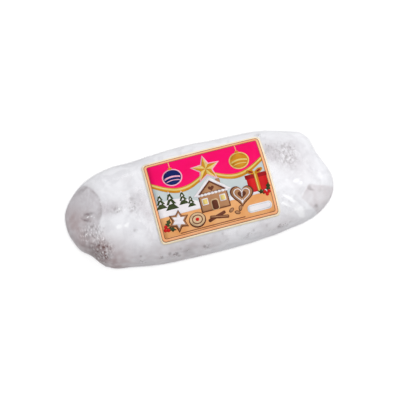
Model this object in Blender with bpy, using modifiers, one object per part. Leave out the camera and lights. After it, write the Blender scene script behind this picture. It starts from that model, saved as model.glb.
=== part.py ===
"""A half-kilogram stollen, dusted with icing sugar and sealed in clear film, with a paper label on its top.

The loaf lies along X on Z = 0, with its long front side towards -Y. The film lies tight on the loaf everywhere,
so the two are one closed solid. The label is a thin paper sheet that follows the crown of the loaf.
"""

import math
from typing import NamedTuple

import bmesh
import bpy
from mathutils import Matrix, Vector, noise

# Driving dimensions, in metres.
LENGTH = 0.2302
WIDTH = 0.0940
HEIGHT = 0.052
WAIST_HEIGHT = 0.016
BASE_SINK = 0.0035
LABEL_LENGTH = 0.1035
LABEL_WIDTH = 0.0750
LABEL_CORNER = 0.004
LABEL_THICKNESS = 0.0004
LABEL_GAP = 0.0005
LABEL_PLACE = (0.0106, -0.0005)

# Fineness of the two meshes.
RINGS_ALONG = 80
STEPS_AROUND = 60
LABEL_STEPS_ALONG = 32
LABEL_STEPS_ACROSS = 22

# Roundness exponents: 2 is an ellipse and more is squarer. The first is for the spacing of the rings.
RING_SPACING = 2.4
CROWN_ACROSS = 2.45
BASE_ACROSS = 3.2
BASE_ALONG = 4.5


class End(NamedTuple):
    """Roundness of one end of the loaf: at the back and the front in plan, and of the crown seen from the side."""

    back: float
    front: float
    crown: float


LEFT_END = End(back=3.0, front=2.5, crown=2.9)
RIGHT_END = End(back=4.6, front=2.6, crown=3.8)

# The right end is cut aslant: it leans back by this much for each metre towards the back, from here to there.
SLANT = -0.255
SLANT_FROM = 0.010
SLANT_FULL = 0.095


class Swell(NamedTuple):
    """A rounded swelling of the dough: its place in plan, its spread along and across, and its height, in metres."""

    x: float
    y: float
    along: float
    across: float
    rise: float


SWELLS = (
    Swell(-0.084, -0.044, 0.011, 0.018, 0.0024),
    Swell(-0.106, -0.027, 0.010, 0.010, -0.0052),
    Swell(-0.115, -0.011, 0.007, 0.010, -0.0032),
    Swell(-0.082, 0.043, 0.024, 0.014, 0.0036),
    Swell(-0.008, 0.047, 0.042, 0.010, 0.0022),
    Swell(-0.063, 0.046, 0.012, 0.010, 0.0006),
    Swell(0.088, 0.046, 0.016, 0.010, -0.0008),
    Swell(0.036, 0.047, 0.014, 0.010, 0.0001),
    Swell(0.062, 0.047, 0.014, 0.010, 0.0012),
    Swell(-0.026, -0.046, 0.015, 0.012, -0.0013),
    Swell(0.056, -0.046, 0.022, 0.010, 0.0009),
    Swell(0.096, -0.040, 0.016, 0.014, 0.0028),
    Swell(0.114, -0.027, 0.008, 0.010, 0.0014),
    Swell(-0.075, 0.008, 0.020, 0.012, -0.0018),
    Swell(-0.060, -0.024, 0.022, 0.014, 0.0012),
    Swell(0.086, 0.016, 0.014, 0.018, 0.0012),
    Swell(0.098, -0.018, 0.009, 0.010, -0.0012),
    Swell(0.104, 0.034, 0.007, 0.008, 0.0036),
    Swell(0.108, 0.012, 0.010, 0.012, -0.0016),
)


class Flat(NamedTuple):
    """A flat that the tight film presses on the dough: a point on it, the way it faces, and how flat it gets."""

    point: tuple[float, float, float]
    facing: tuple[float, float, float]
    share: float


# How gently a flat runs out into the round form beside it.
FLAT_BLEND = 0.0012

FLATS = (
    Flat((-0.0835, 0.001, 0.0450), (-0.50, 0.10, 0.86), 0.75),
    Flat((0.0910, -0.0230, 0.0430), (0.41, -0.47, 0.78), 0.60),
    Flat((0.1010, 0.0140, 0.0400), (0.62, 0.36, 0.70), 0.45),
)

# Soft lumps of the dough under the sugar: the size and height of each of two grades, in metres.
LUMP_GRADES = ((0.042, 0.0013), (0.015, 0.0006))
LUMP_SEED = Vector((3.1, 7.4, 1.9))
CALM_MARGIN = 0.010


def signed_power(value, exponent):
    """The power of a number's size, with its own sign."""
    return math.copysign(abs(value) ** exponent, value)


def eased(value, start, full):
    """A smooth step from 0 at start to 1 at full."""
    share = min(max((value - start) / (full - start), 0.0), 1.0)
    return share * share * (3 - 2 * share)


def arched(share, roundness):
    """The height of a superellipse of unit size, at this share of its half-length from the middle."""
    return max(1 - min(abs(share), 1.0) ** roundness, 0.0) ** (1 / roundness)


def loaf_point(direction):
    """The point of the plain loaf in this direction from its middle, before swellings and lumps."""
    end = RIGHT_END if direction.x > 0 else LEFT_END
    share = signed_power(direction.x, 2 / RING_SPACING)
    around = math.atan2(direction.z, direction.y)
    back_share = (1 + math.cos(around)) / 2
    plan = arched(share, end.front + (end.back - end.front) * back_share)
    if direction.z >= 0:
        across, depth, along = CROWN_ACROSS, HEIGHT - WAIST_HEIGHT, end.crown
    else:
        across, depth, along = BASE_ACROSS, WAIST_HEIGHT + BASE_SINK, BASE_ALONG
    x = LENGTH / 2 * share
    y = WIDTH / 2 * plan * signed_power(math.cos(around), 2 / across)
    z = WAIST_HEIGHT + depth * arched(share, along) * signed_power(math.sin(around), 2 / across)
    return Vector((x + SLANT * y * eased(x, SLANT_FROM, SLANT_FULL), y, z))


def swelling(point):
    """How far the swellings push this point out."""
    total = 0.0
    for swell in SWELLS:
        away = ((point.x - swell.x) / swell.along) ** 2 + ((point.y - swell.y) / swell.across) ** 2
        total += swell.rise * math.exp(-away)
    return total


def flattened(point):
    """The point after every flat has pressed in what stands above it."""
    for flat in FLATS:
        facing = Vector(flat.facing).normalized()
        above = (point - Vector(flat.point)).dot(facing)
        pressed = (above + math.hypot(above, FLAT_BLEND)) / 2
        point = point - facing * (flat.share * pressed)
    return point


def lumps(point):
    """How far the soft lumps of the dough push this point out: they fade away under the label."""
    over_x = abs(point.x - LABEL_PLACE[0]) - LABEL_LENGTH / 2
    over_y = abs(point.y - LABEL_PLACE[1]) - LABEL_WIDTH / 2
    strength = eased(max(over_x, over_y), -CALM_MARGIN, CALM_MARGIN)
    return strength * sum(rise * noise.noise(point / size + LUMP_SEED) for size, rise in LUMP_GRADES)


def fill_loaf(solid):
    """The loaf in its film: a sphere whose poles are the loaf's two ends, shaped point by point."""
    bmesh.ops.create_uvsphere(
        solid, u_segments=STEPS_AROUND, v_segments=RINGS_ALONG, radius=1,
        matrix=Matrix.Rotation(math.pi / 2, 4, "Y"),
    )
    for vertex in solid.verts:
        vertex.co = loaf_point(vertex.co)
    solid.normal_update()
    for vertex in solid.verts:
        vertex.co = flattened(vertex.co + vertex.normal * (swelling(vertex.co) + lumps(vertex.co)))
    for vertex in solid.verts:
        vertex.co.z = max(vertex.co.z, 0.0)
    centre(solid)


def centre(solid):
    """Moves the mesh so that the middle of its box stands over the origin."""
    across = [vertex.co.x for vertex in solid.verts]
    deep = [vertex.co.y for vertex in solid.verts]
    middle = Vector((min(across) + max(across), min(deep) + max(deep), 0)) / 2
    bmesh.ops.translate(solid, vec=-middle, verts=solid.verts)


def chord_of(arc):
    """The width in plan that a sheet of this width covers once it lies over the loaf's crown."""
    steps = 400
    half, rise = WIDTH / 2, HEIGHT - WAIST_HEIGHT
    walked, y, z = 0.0, 0.0, rise
    for step in range(1, steps):
        next_y = half * step / steps
        next_z = rise * arched(step / steps, CROWN_ACROSS)
        walked += math.hypot(next_y - y, next_z - z)
        if walked > arc / 2:
            break
        y, z = next_y, next_z
    return 2 * y


def fill_label(solid):
    """The label laid out flat above the loaf: a grid with rounded corners."""
    half_x, half_y = LABEL_LENGTH / 2, chord_of(LABEL_WIDTH) / 2
    bmesh.ops.create_grid(solid, x_segments=LABEL_STEPS_ALONG, y_segments=LABEL_STEPS_ACROSS, size=1)
    for vertex in solid.verts:
        x, y = vertex.co.x * half_x, vertex.co.y * half_y
        over_x = max(abs(x) - (half_x - LABEL_CORNER), 0) / LABEL_CORNER
        over_y = max(abs(y) - (half_y - LABEL_CORNER), 0) / LABEL_CORNER
        if over_x > 0 and over_y > 0:
            shrink = LABEL_CORNER * max(over_x, over_y) / math.hypot(over_x, over_y)
            x = math.copysign(half_x - LABEL_CORNER + over_x * shrink, x)
            y = math.copysign(half_y - LABEL_CORNER + over_y * shrink, y)
        vertex.co = Vector((x + LABEL_PLACE[0], y + LABEL_PLACE[1], 2 * HEIGHT))


def new_part(name, fill, colour, roughness):
    """An object of that name whose mesh the given function fills, with its own material."""
    mesh = bpy.data.meshes.new(name)
    solid = bmesh.new()
    fill(solid)
    solid.to_mesh(mesh)
    solid.free()
    material = bpy.data.materials.new(name)
    material.use_nodes = True
    shader = material.node_tree.nodes["Principled BSDF"]
    shader.inputs["Base Color"].default_value = (*colour, 1)
    shader.inputs["Roughness"].default_value = roughness
    shader.inputs["Metallic"].default_value = 0.0
    mesh.materials.append(material)
    return bpy.data.objects.new(name, mesh)


def lay_on(sheet, loaf):
    """Drops the flat sheet onto the loaf and gives it its thickness."""
    drop = sheet.modifiers.new("lie_on_loaf", "SHRINKWRAP")
    drop.target = loaf
    drop.wrap_method = "PROJECT"
    drop.use_project_z = True
    drop.use_negative_direction = True
    drop.use_positive_direction = False
    drop.offset = LABEL_GAP
    paper = sheet.modifiers.new("paper", "SOLIDIFY")
    paper.thickness = LABEL_THICKNESS
    paper.offset = 1.0


def clear_startup():
    """Removes the objects that are already in the scene."""
    for found in list(bpy.data.objects):
        bpy.data.objects.remove(found)


def main():
    """Makes the wrapped loaf and its label in one collection."""
    clear_startup()
    parts = bpy.data.collections.new("wrapped_stollen")
    bpy.context.scene.collection.children.link(parts)
    loaf = new_part("wrapped_loaf", fill_loaf, (0.86, 0.85, 0.86), 0.5)
    label = new_part("label", fill_label, (0.85, 0.10, 0.35), 0.35)
    for part in (loaf, label):
        parts.objects.link(part)
    loaf.data.shade_smooth()
    lay_on(label, loaf)


main()
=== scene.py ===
"""Looks of a wrapped stollen: the sugared loaf, the clear film on it and its printed label, in a pale studio.

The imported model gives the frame. The loaf and its film are both shaped on the solid "wrapped_loaf" and
replace it, and the label's paper and printed fields replace the solid "label". Lengths are in metres unless a
name says mm.
"""

from __future__ import annotations

import logging
import math
from collections.abc import Callable, Iterator
from contextlib import contextmanager
from dataclasses import dataclass, field
from enum import Enum
from functools import reduce

import bpy
import numpy as np
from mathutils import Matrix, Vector, noise


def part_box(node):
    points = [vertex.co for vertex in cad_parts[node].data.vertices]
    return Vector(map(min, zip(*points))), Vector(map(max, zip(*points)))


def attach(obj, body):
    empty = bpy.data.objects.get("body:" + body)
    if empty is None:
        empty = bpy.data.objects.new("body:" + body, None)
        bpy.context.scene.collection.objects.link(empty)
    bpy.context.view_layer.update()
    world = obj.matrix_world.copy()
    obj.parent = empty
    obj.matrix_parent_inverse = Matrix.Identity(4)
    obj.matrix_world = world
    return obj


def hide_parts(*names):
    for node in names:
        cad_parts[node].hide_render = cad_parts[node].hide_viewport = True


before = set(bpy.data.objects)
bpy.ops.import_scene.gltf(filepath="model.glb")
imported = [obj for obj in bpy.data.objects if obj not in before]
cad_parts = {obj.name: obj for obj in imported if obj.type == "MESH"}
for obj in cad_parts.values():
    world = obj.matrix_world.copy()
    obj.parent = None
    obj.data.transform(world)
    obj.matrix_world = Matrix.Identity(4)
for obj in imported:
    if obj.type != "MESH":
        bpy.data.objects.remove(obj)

LOG = logging.getLogger("stollen")
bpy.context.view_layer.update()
MM = 0.001
BODY = "root"
LOAF_NODE = "wrapped_loaf"
LABEL_NODE = "label"

Colour = tuple[float, float, float]
Outline = list[tuple[float, float]]


# ---------------------------------------------------------------------------------------------- small tools


def deselect() -> None:
    """Leaves object mode's selection empty."""
    for piece in bpy.context.selected_objects:
        piece.select_set(False)


def make_active(piece: bpy.types.Object) -> None:
    """Selects one piece alone and makes it the active one."""
    deselect()
    piece.select_set(True)
    bpy.context.view_layer.objects.active = piece


@contextmanager
def editing(piece: bpy.types.Object) -> Iterator[None]:
    """Holds a piece in edit mode, with all of it selected at first."""
    make_active(piece)
    bpy.ops.object.mode_set(mode="EDIT")
    bpy.ops.mesh.select_all(action="SELECT")
    yield
    bpy.ops.object.mode_set(mode="OBJECT")


def copy_of(piece: bpy.types.Object, name: str) -> bpy.types.Object:
    """Makes a copy of a piece, with its own mesh and this name."""
    made = piece.copy()
    made.data = piece.data.copy()
    made.name = name
    bpy.context.collection.objects.link(made)
    return made


def apply_modifier(piece: bpy.types.Object, kind: str, **settings: object) -> None:
    """Adds one modifier with these settings to a piece and applies it.

    Args:
        piece: the piece.
        kind: Blender's name of the modifier's type.
        settings: the modifier's values by their names.
    """
    make_active(piece)
    modifier = piece.modifiers.new(kind.lower(), kind)
    for name, value in settings.items():
        setattr(modifier, name, value)
    bpy.ops.object.modifier_apply(modifier=modifier.name)


def read_points(piece: bpy.types.Object) -> tuple[np.ndarray, np.ndarray]:
    """The piece's points and their normals.

    Args:
        piece: a mesh piece.

    Returns:
        Two arrays with a row of three numbers for each vertex.
    """
    count = len(piece.data.vertices)
    points = np.empty(count * 3)
    normals = np.empty(count * 3)
    piece.data.vertices.foreach_get("co", points)
    piece.data.vertices.foreach_get("normal", normals)
    return points.reshape(-1, 3), normals.reshape(-1, 3)


def write_points(piece: bpy.types.Object, points: np.ndarray) -> None:
    """Moves the piece's vertices to these points."""
    piece.data.vertices.foreach_set("co", points.ravel())
    piece.data.update()


def write_mask(piece: bpy.types.Object, name: str, values: np.ndarray) -> None:
    """Stores one number for each vertex as an attribute that a material can read."""
    layer = piece.data.attributes.new(name, "FLOAT", "POINT")
    layer.data.foreach_set("value", values.astype(np.float32))


def eased(values: np.ndarray, start: float, full: float) -> np.ndarray:
    """A smooth step from 0 at start to 1 at full."""
    share = np.clip((values - start) / (full - start), 0.0, 1.0)
    return share * share * (3 - 2 * share)


def noise_at(points: np.ndarray, size: float, seed: float) -> np.ndarray:
    """Soft noise, from about -1 to 1, in lumps of this size.

    Args:
        points: rows of x, y and z.
        size: the size of a lump.
        seed: shifts the pattern.

    Returns:
        One number for each point.
    """
    moved = points / size + seed
    return np.array([noise.noise(row) for row in moved])


# ------------------------------------------------------------------------------------------------ materials


class Graph:
    """A short way to write node trees."""

    def __init__(self, tree: bpy.types.NodeTree) -> None:
        """Keeps the tree that the nodes go in."""
        self.tree = tree

    def add(self, kind: str, feeds: dict | None = None, **settings: object) -> bpy.types.Node:
        """Adds a node.

        Args:
            kind: the node's type, without the leading "ShaderNode".
            feeds: what goes into its sockets, by name or number: a socket to link, or a plain value.
            settings: the node's own properties.

        Returns:
            The node.
        """
        name = kind if kind.startswith("NodeGroup") else f"ShaderNode{kind}"
        made = self.tree.nodes.new(name)
        for key, value in settings.items():
            setattr(made, key, value)
        self.feed(made, feeds or {})
        return made

    def feed(self, node: bpy.types.Node, feeds: dict) -> None:
        """Links or sets a node's sockets, by name or number."""
        for key, value in feeds.items():
            if isinstance(value, bpy.types.NodeSocket):
                self.tree.links.new(value, node.inputs[key])
            else:
                node.inputs[key].default_value = value

    def math(self, operation: str, *values: object, clamp: bool = False) -> bpy.types.NodeSocket:
        """The result of a Math node on these values."""
        return self.add("Math", dict(enumerate(values)), operation=operation, use_clamp=clamp).outputs[0]

    def ramp(self, value: bpy.types.NodeSocket, start: float, full: float) -> bpy.types.NodeSocket:
        """A smooth step of a value from 0 at start to 1 at full."""
        feeds = {"Value": value, "From Min": start, "From Max": full}
        return self.add("MapRange", feeds, interpolation_type="SMOOTHSTEP").outputs["Result"]

    def mix(self, share: object, a: object, b: object) -> bpy.types.NodeSocket:
        """A colour between colours a and b."""
        made = self.add("Mix", data_type="RGBA")
        for key, value in (("Factor_Float", share), ("A_Color", a), ("B_Color", b)):
            socket = next(s for s in made.inputs if s.identifier == key)
            if isinstance(value, bpy.types.NodeSocket):
                self.tree.links.new(value, socket)
            else:
                socket.default_value = (*value, 1.0) if isinstance(value, tuple) else value
        return next(s for s in made.outputs if s.identifier == "Result_Color")

    def weighted(self, *terms: tuple[bpy.types.NodeSocket, float]) -> bpy.types.NodeSocket:
        """The sum of values, each of them times its own weight."""
        parts = [self.math("MULTIPLY", value, weight) for value, weight in terms]
        return reduce(lambda first, second: self.math("ADD", first, second), parts)

    def noise(
        self, place: bpy.types.NodeSocket, scale: float, detail: float = 2.0, distortion: float = 0.0,
    ) -> bpy.types.NodeSocket:
        """The strength of a noise texture at a place."""
        feeds = {"Vector": place, "Scale": scale, "Detail": detail, "Distortion": distortion}
        return self.add("TexNoise", feeds).outputs["Fac"]

    def warp(self, place: bpy.types.NodeSocket, scale: float, reach: float) -> bpy.types.NodeSocket:
        """The place, moved about by noise of this scale by up to about half of this reach."""
        noisy = self.add("TexNoise", {"Vector": place, "Scale": scale, "Detail": 2.0}).outputs["Color"]
        even = self.add("VectorMath", {0: noisy, 1: (0.5, 0.5, 0.5)}, operation="SUBTRACT").outputs[0]
        moved = self.add("VectorMath", {0: even, "Scale": reach}, operation="SCALE").outputs[0]
        return self.add("VectorMath", {0: place, 1: moved}, operation="ADD").outputs[0]


def new_group(
    name: str, inputs: dict[str, tuple[str, object]], outputs: dict[str, str],
) -> tuple[Graph, dict, dict]:
    """Starts a shader node group.

    Args:
        name: the group's name.
        inputs: each input's kind ("Float", "Color" or "Vector") and first value.
        outputs: each output's kind.

    Returns:
        The group's graph, its inputs' sockets by name, and its outputs' sockets by name.
    """
    tree = bpy.data.node_groups.new(name, "ShaderNodeTree")
    for key, (kind, value) in inputs.items():
        socket = tree.interface.new_socket(key, in_out="INPUT", socket_type=f"NodeSocket{kind}")
        socket.default_value = value
    for key, kind in outputs.items():
        tree.interface.new_socket(key, in_out="OUTPUT", socket_type=f"NodeSocket{kind}")
    graph = Graph(tree)
    entry = tree.nodes.new("NodeGroupInput")
    leave = tree.nodes.new("NodeGroupOutput")
    return graph, {k: entry.outputs[k] for k in inputs}, {k: leave.inputs[k] for k in outputs}


@dataclass(frozen=True)
class SugarScales:
    """The scales of the noises in the sugar. A higher one is finer, and a wander has a scale and a reach."""

    blotch: float = 120.0
    grain: float = 620.0
    grit: float = 2400.0
    smudge: float = 85.0
    blot: float = 230.0
    speck: float = 500.0
    speck_wander: tuple[float, float] = (480.0, 0.0026)
    speck_groups: float = 260.0
    facet: float = 430.0
    facet_wander: tuple[float, float] = (300.0, 0.0020)
    facet_stretch: tuple[float, float, float] = (1.5, 0.8, 1.0)


def sugar_group(scales: SugarScales) -> bpy.types.NodeTree:
    """Makes the group that spreads icing sugar.

    Args:
        scales: how fine its patterns are.

    Returns:
        The group. It puts out how dry, damp, smudged, blotted and specked the sugar is, its facets and its
        grain.
    """
    inputs = {
        "Place": ("Vector", (0, 0, 0)), "Cover": ("Float", 1.0), "Patchiness": ("Float", 0.5),
        "Specks": ("Float", 0.0),
    }
    names = ("Dry", "Damp", "Smudge", "Blot", "Speck", "Facet", "Grain")
    graph, given, wanted = new_group("sugar_spread", inputs, dict.fromkeys(names, "Float"))
    place, specks = given["Place"], given["Specks"]
    blotch = graph.noise(place, scales.blotch, 3.0)
    grain = graph.noise(place, scales.grain)
    grit = graph.noise(place, scales.grit, 1.0)
    rough = graph.weighted((blotch, 0.55), (grain, 0.45))
    shift = graph.math("MULTIPLY", graph.math("SUBTRACT", rough, 0.5), given["Patchiness"])
    cover = graph.math("ADD", given["Cover"], shift)
    smudge = graph.noise(place, scales.smudge, 4.0, 0.9)
    blot = graph.noise(place, scales.blot, 3.0, 0.4)
    ragged = graph.warp(place, *scales.speck_wander)
    dots = graph.add("TexVoronoi", {"Vector": ragged, "Scale": scales.speck, "Randomness": 1.0})
    few = graph.ramp(graph.noise(place, scales.speck_groups), 0.38, 0.54)
    wide = graph.math("ADD", 0.14, graph.math("MULTIPLY", specks, 0.36))
    near = graph.math("SUBTRACT", 1.0, graph.math("DIVIDE", dots.outputs["Distance"], wide), clamp=True)
    speck = graph.math("MULTIPLY", graph.ramp(near, 0.05, 0.50), few)
    wandering = graph.warp(place, *scales.facet_wander)
    narrow = graph.add("VectorMath", {0: wandering, 1: scales.facet_stretch}, operation="MULTIPLY")
    results = {
        "Dry": graph.ramp(cover, 0.42, 0.72),
        "Damp": graph.ramp(cover, 0.16, 0.40),
        "Smudge": graph.ramp(smudge, 0.40, 0.66),
        "Blot": graph.math("MULTIPLY", graph.ramp(blot, 0.46, 0.66), graph.ramp(specks, 0.05, 0.60)),
        "Speck": graph.math("MULTIPLY", speck, graph.ramp(specks, 0.02, 0.35)),
        "Facet": graph.noise(narrow.outputs[0], scales.facet, 2.5),
        "Grain": graph.weighted((grain, 0.7), (grit, 0.3)),
    }
    for name, result in results.items():
        graph.tree.links.new(result, wanted[name])
    return graph.tree


def crinkle_group() -> bpy.types.NodeTree:
    """Makes the group for the fine creases of stretched film, which also show in the paper glued on it.

    Returns:
        The group. It puts out a height.
    """
    inputs = {"Place": ("Vector", (0, 0, 0)), "Fineness": ("Float", 1.0)}
    graph, given, wanted = new_group("film_crinkle", inputs, {"Height": "Float"})
    feeds = {0: given["Place"], "Scale": given["Fineness"]}
    spread = graph.add("VectorMath", feeds, operation="SCALE").outputs[0]
    soft = graph.noise(spread, 55.0)
    fine = graph.noise(spread, 240.0)
    crease = graph.math("ABSOLUTE", graph.math("SUBTRACT", graph.noise(spread, 90.0, 1.0), 0.5))
    ridge = graph.math("SUBTRACT", 1.0, graph.math("MULTIPLY", crease, 14.0, clamp=True))
    height = graph.weighted((soft, 0.5), (fine, 0.15), (ridge, 0.35))
    graph.tree.links.new(height, wanted["Height"])
    return graph.tree


def ink_group() -> bpy.types.NodeTree:
    """Makes the group for printed ink.

    Returns:
        The group. It puts out a colour that drifts a little between two shades and has a faint screen grain.
    """
    inputs = {"Place": ("Vector", (0, 0, 0)), "Ink": ("Color", (1, 1, 1, 1)), "Deep": ("Color", (0, 0, 0, 1))}
    graph, given, wanted = new_group("printed_ink", inputs, {"Colour": "Color"})
    drift = graph.noise(given["Place"], 70.0)
    screen = graph.noise(given["Place"], 2600.0, 1.0)
    share = graph.ramp(graph.weighted((drift, 0.75), (screen, 0.25)), 0.30, 0.72)
    graph.tree.links.new(graph.mix(share, given["Ink"], given["Deep"]), wanted["Colour"])
    return graph.tree


def new_material(name: str) -> tuple[bpy.types.Material, Graph, bpy.types.Node, bpy.types.Node]:
    """Starts a material.

    Args:
        name: the material's name.

    Returns:
        The material, its graph, its Principled shader and its output node.
    """
    material = bpy.data.materials.new(name)
    material.use_nodes = True
    nodes = material.node_tree.nodes
    return material, Graph(material.node_tree), nodes["Principled BSDF"], nodes["Material Output"]


@dataclass(frozen=True)
class SugarFinish:
    """Icing sugar on a crust: white where it lies thick, grey where butter wets it, brown where it's gone,
    with painted shade and painted glints on top.

    Each share says how fully its colour covers what lies under it, where its pattern is strongest.
    """

    group: bpy.types.NodeTree
    dry: Colour = (0.88, 0.88, 0.905)
    dry_shade: Colour = (0.76, 0.757, 0.785)
    # Grey for butter-greyed sugar and for painted shade, above all on the left face.
    lilac: Colour = (0.62, 0.59, 0.615)
    pink: Colour = (0.46, 0.365, 0.37)
    damp: Colour = (0.50, 0.45, 0.455)
    # Colour of the painted shade on the dark facets of crinkled film.
    facet_shade: Colour = (0.36, 0.325, 0.335)
    crust: Colour = (0.14, 0.085, 0.07)
    blot: Colour = (0.52, 0.50, 0.515)
    speck: Colour = (0.33, 0.285, 0.29)
    brown_speck: Colour = (0.135, 0.060, 0.052)
    shade: Colour = (0.20, 0.155, 0.160)
    # Colour of the painted glints, where the film over the sugar catches the light.
    bright: Colour = (0.97, 0.97, 0.985)
    smudge_share: float = 0.75
    blot_share: float = 0.55
    speck_share: float = 0.80
    facet_shade_share: float = 0.85
    facet_glint_share: float = 0.75
    patchiness: float = 0.85
    wet_roughness: float = 0.55
    dry_roughness: float = 0.90
    gloss: float = 0.3
    grain_depth: float = 0.00014
    grain_strength: float = 0.8

    def material(self, name: str) -> bpy.types.Material:
        """Makes the material, which reads the masks that the sugared loaf stores on its points.

        Args:
            name: the material's name.

        Returns:
            The material.
        """
        material, graph, shader, _ = new_material(name)
        place = graph.add("TexCoord").outputs["Object"]
        masks = {mask: graph.add("Attribute", attribute_name=mask.value).outputs["Fac"] for mask in SugarMask}
        feeds = {"Place": place, "Cover": masks[SugarMask.COVER], "Patchiness": self.patchiness,
                 "Specks": masks[SugarMask.SPECKS]}
        spread = graph.add("Group", feeds, node_tree=self.group).outputs
        smudged = graph.math("MULTIPLY", spread["Smudge"], self.smudge_share)
        white = graph.mix(smudged, self.dry, self.dry_shade)
        white = graph.mix(masks[SugarMask.LILAC], white, self.lilac)
        wet = graph.mix(spread["Damp"], self.crust, self.damp)
        colour = graph.mix(spread["Dry"], wet, white)
        colour = graph.mix(masks[SugarMask.PINK], colour, self.pink)
        colour = graph.mix(graph.math("MULTIPLY", spread["Blot"], self.blot_share), colour, self.blot)
        stain = graph.mix(masks[SugarMask.PINK], self.speck, self.brown_speck)
        colour = graph.mix(graph.math("MULTIPLY", spread["Speck"], self.speck_share), colour, stain)
        colour = graph.mix(masks[SugarMask.SHADE], colour, self.shade)
        colour = self.crinkle(graph, colour, spread["Facet"], masks)
        drier = graph.math("MULTIPLY", spread["Dry"], self.dry_roughness - self.wet_roughness)
        rough = graph.math("ADD", self.wet_roughness, drier)
        relief = {"Height": spread["Grain"], "Distance": self.grain_depth, "Strength": self.grain_strength}
        graph.feed(shader, {
            "Base Color": colour, "Roughness": rough, "Specular IOR Level": self.gloss,
            "Normal": graph.add("Bump", relief).outputs["Normal"],
        })
        return material

    def crinkle(
        self, graph: Graph, colour: bpy.types.NodeSocket, facet: bpy.types.NodeSocket,
        masks: dict[SugarMask, bpy.types.NodeSocket],
    ) -> bpy.types.NodeSocket:
        """Paints the shade and glints of crinkled film's facets on the sugar, and the other painted glints.

        Args:
            graph: the material's graph.
            colour: the sugar's colour so far.
            facet: the facets' noise.
            masks: the masks by name.

        Returns:
            The new colour.
        """
        crinkled = masks[SugarMask.CRINKLED]
        # Painted shade on some facets of the crinkled film, brown where the sugar is torn, and painted glints
        # on others.
        shadowed = graph.math("SUBTRACT", 1.0, graph.ramp(facet, 0.36, 0.50))
        facet_shade = graph.math("MULTIPLY", graph.math("MULTIPLY", shadowed, crinkled), self.facet_shade_share)
        crumbly = graph.math("MULTIPLY", masks[SugarMask.PINK], masks[SugarMask.SPECKS])
        bare = graph.mix(graph.ramp(crumbly, 0.30, 0.75), self.facet_shade, self.brown_speck)
        clear = graph.math("MULTIPLY", graph.ramp(facet, 0.54, 0.66), crinkled)
        clear = graph.math("MULTIPLY", clear, self.facet_glint_share)
        shine = graph.math("MAXIMUM", masks[SugarMask.BRIGHT], clear)
        return graph.mix(shine, graph.mix(facet_shade, colour, bare), self.bright)


@dataclass(frozen=True)
class FilmFinish:
    """Thin clear film: see-through, with a sharp gloss that grows at grazing angles."""

    group: bpy.types.NodeTree
    clear: Colour = (0.985, 0.985, 0.99)
    roughness: float = 0.10
    least_gloss: float = 0.045
    rim_gloss: float = 0.30
    rim_narrowness: float = 5.0
    crinkle_depth: float = 0.00030

    def material(self, name: str) -> bpy.types.Material:
        """Makes the material: a clear and a glossy surface, mixed by the slope so that both sides act alike.

        Args:
            name: the material's name.

        Returns:
            The material.
        """
        material, graph, shader, output = new_material(name)
        graph.tree.nodes.remove(shader)
        place = graph.add("TexCoord").outputs["Object"]
        loose = graph.add("Attribute", attribute_name=LOOSENESS).outputs["Fac"]
        crinkle = graph.add("Group", {"Place": place}, node_tree=self.group)
        height = graph.math("MULTIPLY", crinkle.outputs["Height"], loose)
        bump = graph.add("Bump", {"Height": height, "Distance": self.crinkle_depth, "Strength": 1.0})
        normal = bump.outputs["Normal"]
        gloss = graph.add("BsdfGlossy", {"Roughness": self.roughness, "Normal": normal})
        clear = graph.add("BsdfTransparent", {"Color": (*self.clear, 1.0)})
        slope = graph.add("LayerWeight", {"Blend": 0.5, "Normal": normal}).outputs["Facing"]
        edge = graph.math("MULTIPLY", graph.math("POWER", slope, self.rim_narrowness), self.rim_gloss)
        share = graph.math("ADD", edge, self.least_gloss)
        mixed = graph.add("MixShader", {0: share, 1: clear.outputs[0], 2: gloss.outputs[0]})
        graph.tree.links.new(mixed.outputs[0], output.inputs["Surface"])
        return material


@dataclass(frozen=True)
class InkFinish:
    """One printing ink on coated paper."""

    group: bpy.types.NodeTree
    crinkle: bpy.types.NodeTree
    crinkle_fineness: float = 0.6
    crinkle_depth: float = 0.00006
    crinkle_strength: float = 0.6
    roughness: float = 0.45
    gloss: float = 0.06
    coat: float = 0.03
    coat_roughness: float = 0.15

    def material(self, name: str, ink: Colour, deep: Colour) -> bpy.types.Material:
        """Makes the material of one ink.

        Args:
            name: the material's name.
            ink: the ink's own colour.
            deep: the colour where the ink lies thicker.

        Returns:
            The material.
        """
        material, graph, shader, _ = new_material(name)
        place = graph.add("TexCoord").outputs["Object"]
        inks = {"Place": place, "Ink": (*ink, 1.0), "Deep": (*deep, 1.0)}
        printed = graph.add("Group", inks, node_tree=self.group)
        creases = {"Place": place, "Fineness": self.crinkle_fineness}
        creased = graph.add("Group", creases, node_tree=self.crinkle)
        relief = {"Height": creased.outputs["Height"], "Distance": self.crinkle_depth,
                  "Strength": self.crinkle_strength}
        graph.feed(shader, {
            "Base Color": printed.outputs["Colour"], "Normal": graph.add("Bump", relief).outputs["Normal"],
            "Roughness": self.roughness, "Specular IOR Level": self.gloss,
            "Coat Weight": self.coat, "Coat Roughness": self.coat_roughness,
        })
        return material


# ------------------------------------------------------------------------------------------- the loaf's form


LOOSENESS = "loose"
# Marks, dents and panels are kept off the underside: they set in between these two heights.
UPPER_FROM, UPPER_FULL = 0.006, 0.014
# Every noise has its own seed.
LUMP_SEED, CLUMP_SEED, CRUMB_SEED = 3.0, 7.0, 13.0
CREASE_SEED, PLEAT_SEED, RAG_SEED = 31.0, 41.0, 53.0


class SugarMask(Enum):
    """What the sugared loaf stores for its finish on each of its points."""

    COVER = "cover"
    LILAC = "lilac"
    PINK = "pink"
    SPECKS = "specks"
    BRIGHT = "bright"
    SHADE = "shade"
    CRINKLED = "crinkled"


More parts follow.
